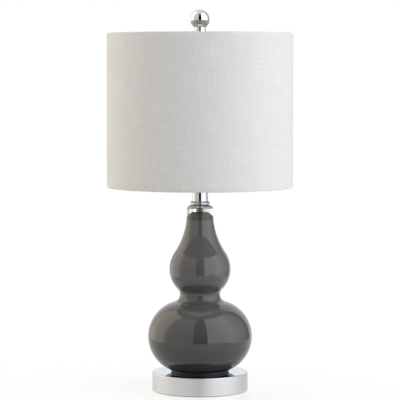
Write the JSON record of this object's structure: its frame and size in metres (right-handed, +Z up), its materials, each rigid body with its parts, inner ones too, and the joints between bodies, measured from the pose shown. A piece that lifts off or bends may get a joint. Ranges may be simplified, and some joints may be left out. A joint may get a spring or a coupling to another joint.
{
  "type": "double gourd lamp",
  "caption": "Table lamp with a double gourd glass body on a round metal base, a drum shade on a wire harp and a ball finial.",
  "frame": {"origin": "centre of the felt on the underside, on the surface that the lamp stands on", "axes": "+Z up along the lamp pipe, -Y the front, where the socket's switch points, +Y the back, where the cord gland is, and +X to the right as seen from the front"},
  "size_m": [0.254, 0.254, 0.5207],
  "materials": {
    "felt": "pressed wool felt",
    "fibreboard": "pressed fibreboard",
    "chrome_plate": "polished chrome plate",
    "cast_iron": "rough casting",
    "black_plastic": "moulded",
    "zinc_steel": "zinc plated",
    "rubber": "moulded",
    "clear_glass": "clear, fire polished",
    "grey_coat": "warm dark grey coat seen through the glass",
    "nickel_steel": "nickel plated",
    "nickel_shell": "nickel toned shell",
    "brass": "plain brass",
    "thread_aluminium": "rolled thread",
    "solder": "solder",
    "white_plastic": "moulded",
    "frosted_globe": "frosted",
    "linen": "off-white slubbed linen",
    "white_sheet": "translucent white sheet",
    "white_wire": "white enamelled wire"
  },
  "bodies": {
    "lamp_base": {"felt_pad": "felt", "bottom_cover": "fibreboard", "base_shell": "chrome_plate", "base_weight": "cast_iron", "cord_gland": "black_plastic", "lamp_pipe": "zinc_steel", "lower_washer": "zinc_steel", "lock_washer": "zinc_steel", "lower_nut": "zinc_steel", "foot_gasket": "rubber", "gourd_glass": "clear_glass", "colour_coat": "grey_coat", "centring_plug": "rubber", "neck_gasket": "rubber", "vase_cap": "chrome_plate", "bead_ring": "chrome_plate", "neck_nut": "zinc_steel", "neck_tube": "chrome_plate", "tube_washer": "chrome_plate", "harp_saddle": "nickel_steel", "socket_cap": "nickel_shell", "set_screw": "zinc_steel", "socket_shell": "nickel_shell", "socket_sleeve": "fibreboard", "socket_core": "black_plastic", "terminal_screws": "brass", "screw_shell": "thread_aluminium", "centre_contact": "brass"},
    "switch": {"switch_stem": "brass", "switch_knob": "black_plastic"},
    "bulb": {"bulb_tip": "solder", "bulb_insulator": "black_plastic", "bulb_cap": "thread_aluminium", "bulb_housing": "white_plastic", "bulb_globe": "frosted_globe"},
    "harp": {"harp_wire": "nickel_steel"},
    "sleeve_left": {"harp_sleeve_left": "nickel_steel"},
    "sleeve_right": {"harp_sleeve_right": "nickel_steel"},
    "swivel": {"swivel_stud": "nickel_steel"},
    "shade": {"shade_cloth": "linen", "shade_sheet": "white_sheet", "bottom_ring": "white_wire", "top_spider": "white_wire", "top_hem": "linen", "bottom_hem": "linen"},
    "finial": {"finial_ball": "chrome_plate", "finial_insert": "brass"}
  },
  "joints": [
    {"name": "switch_turn", "type": "hinge", "parent": "lamp_base", "child": "switch", "pos_m": [0, -0.0185, 0.3141], "axis": [0, -1, 0], "continuous": true},
    {"name": "bulb_out", "type": "slide", "parent": "lamp_base", "child": "bulb", "axis": [0, 0, 1], "range_m": [0, 0.03]},
    {"name": "harp_lift", "type": "slide", "parent": "lamp_base", "child": "harp", "axis": [0, 0, 1], "range_m": [0, 0.02]},
    {"name": "sleeve_left_slide", "type": "slide", "parent": "harp", "child": "sleeve_left", "axis": [0, 0, 1], "range_m": [0, 0.007]},
    {"name": "sleeve_right_slide", "type": "slide", "parent": "harp", "child": "sleeve_right", "axis": [0, 0, 1], "range_m": [0, 0.007]},
    {"name": "stud_swivel", "type": "hinge", "parent": "harp", "child": "swivel", "pos_m": [0, 0, 0.4739], "axis": [0, 0, 1], "continuous": true},
    {"name": "shade_lift", "type": "slide", "parent": "swivel", "child": "shade", "axis": [0, 0, 1], "range_m": [0, 0.22]},
    {"name": "finial_off", "type": "slide", "parent": "shade", "child": "finial", "axis": [0, 0, 1], "range_m": [0, 0.03]}
  ]
}
